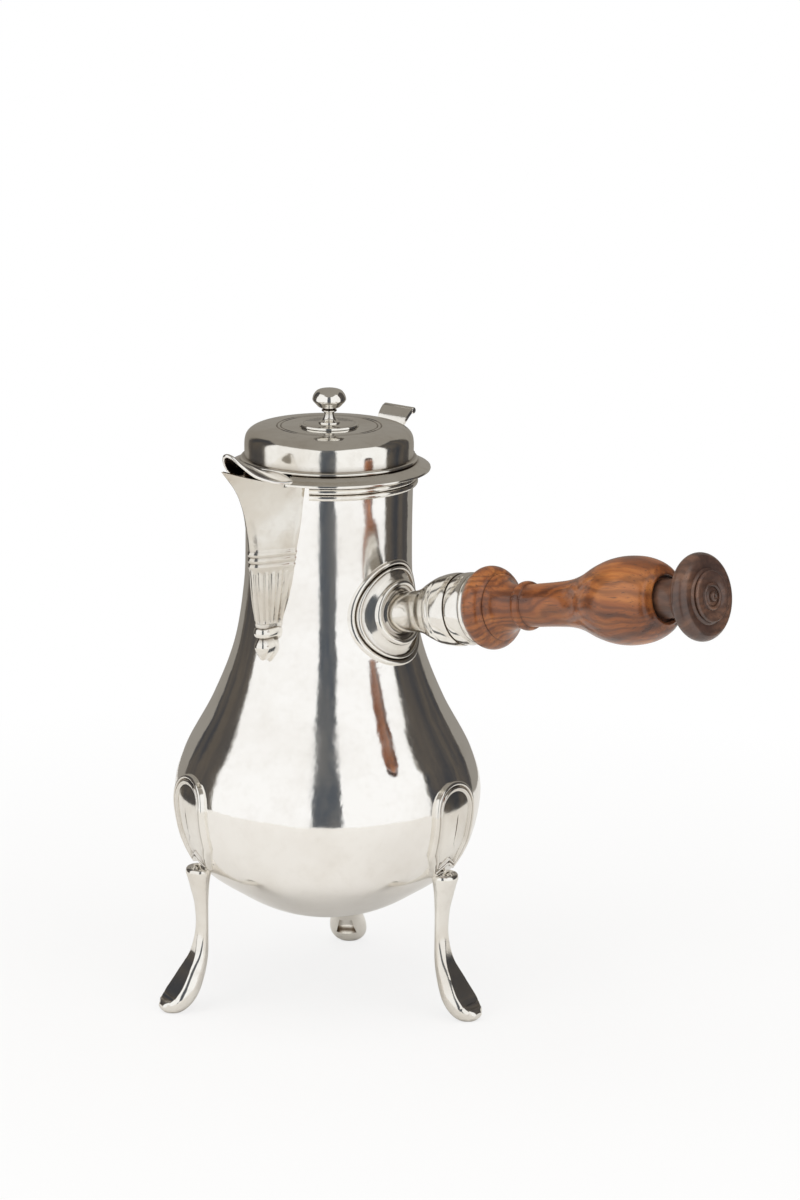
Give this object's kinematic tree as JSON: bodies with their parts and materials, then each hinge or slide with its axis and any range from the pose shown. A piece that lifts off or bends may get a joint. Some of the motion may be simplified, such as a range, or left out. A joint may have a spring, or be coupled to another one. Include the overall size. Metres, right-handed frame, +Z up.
{
  "type": "chocolate pot",
  "caption": "Pear-shaped silver pot on cast feet with a hinged lid, a swivelling finial over the stirrer hole and a turned wooden side handle.",
  "frame": {"origin": "on the table, on the pot's vertical axis, in the middle of the three feet", "axes": "+Z up, +X along the handle, -Y towards the beak, +Y towards the lid's hinge"},
  "size_m": [0.248, 0.1289, 0.245],
  "materials": {
    "silver": "polished silver with light tarnish and fine scratches",
    "pin_silver": "worn silver",
    "grip_wood": "waxed walnut",
    "knob_wood": "dark stained walnut"
  },
  "bodies": {
    "pot": {"body_shell": "silver", "rim_moulding": "silver", "spout": "silver", "spout_drop": "silver", "leg_under_handle": "silver", "leg_by_hinge": "silver", "leg_by_spout": "silver", "plate_under_handle": "silver", "plate_by_hinge": "silver", "plate_by_spout": "silver", "handle_rosette": "silver", "handle_socket": "silver", "handle_pin": "pin_silver", "handle_grip": "grip_wood", "handle_end_knob": "knob_wood", "hinge_bracket": "silver", "hinge_pin": "pin_silver"},
    "lid": {"lid": "silver", "lid_bezel": "silver", "beak_cover": "silver", "lid_hinge_leaf": "silver", "thumbpiece": "silver", "swivel_pin": "pin_silver", "swivel_washer": "pin_silver"},
    "stirrer_cover": {"swivel_cover": "silver", "finial": "silver"}
  },
  "joints": [
    {"name": "lid_hinge", "type": "hinge", "parent": "pot", "child": "lid", "pos_m": [0, 0.0419, 0.2126], "axis": [-1, 0, 0], "range_deg": [0, 100]},
    {"name": "stirrer_cover_swivel", "type": "hinge", "parent": "lid", "child": "stirrer_cover", "pos_m": [-0.0059, 0.00719, 0.2305], "axis": [0, 0, 1], "range_deg": [0, 170]}
  ]
}
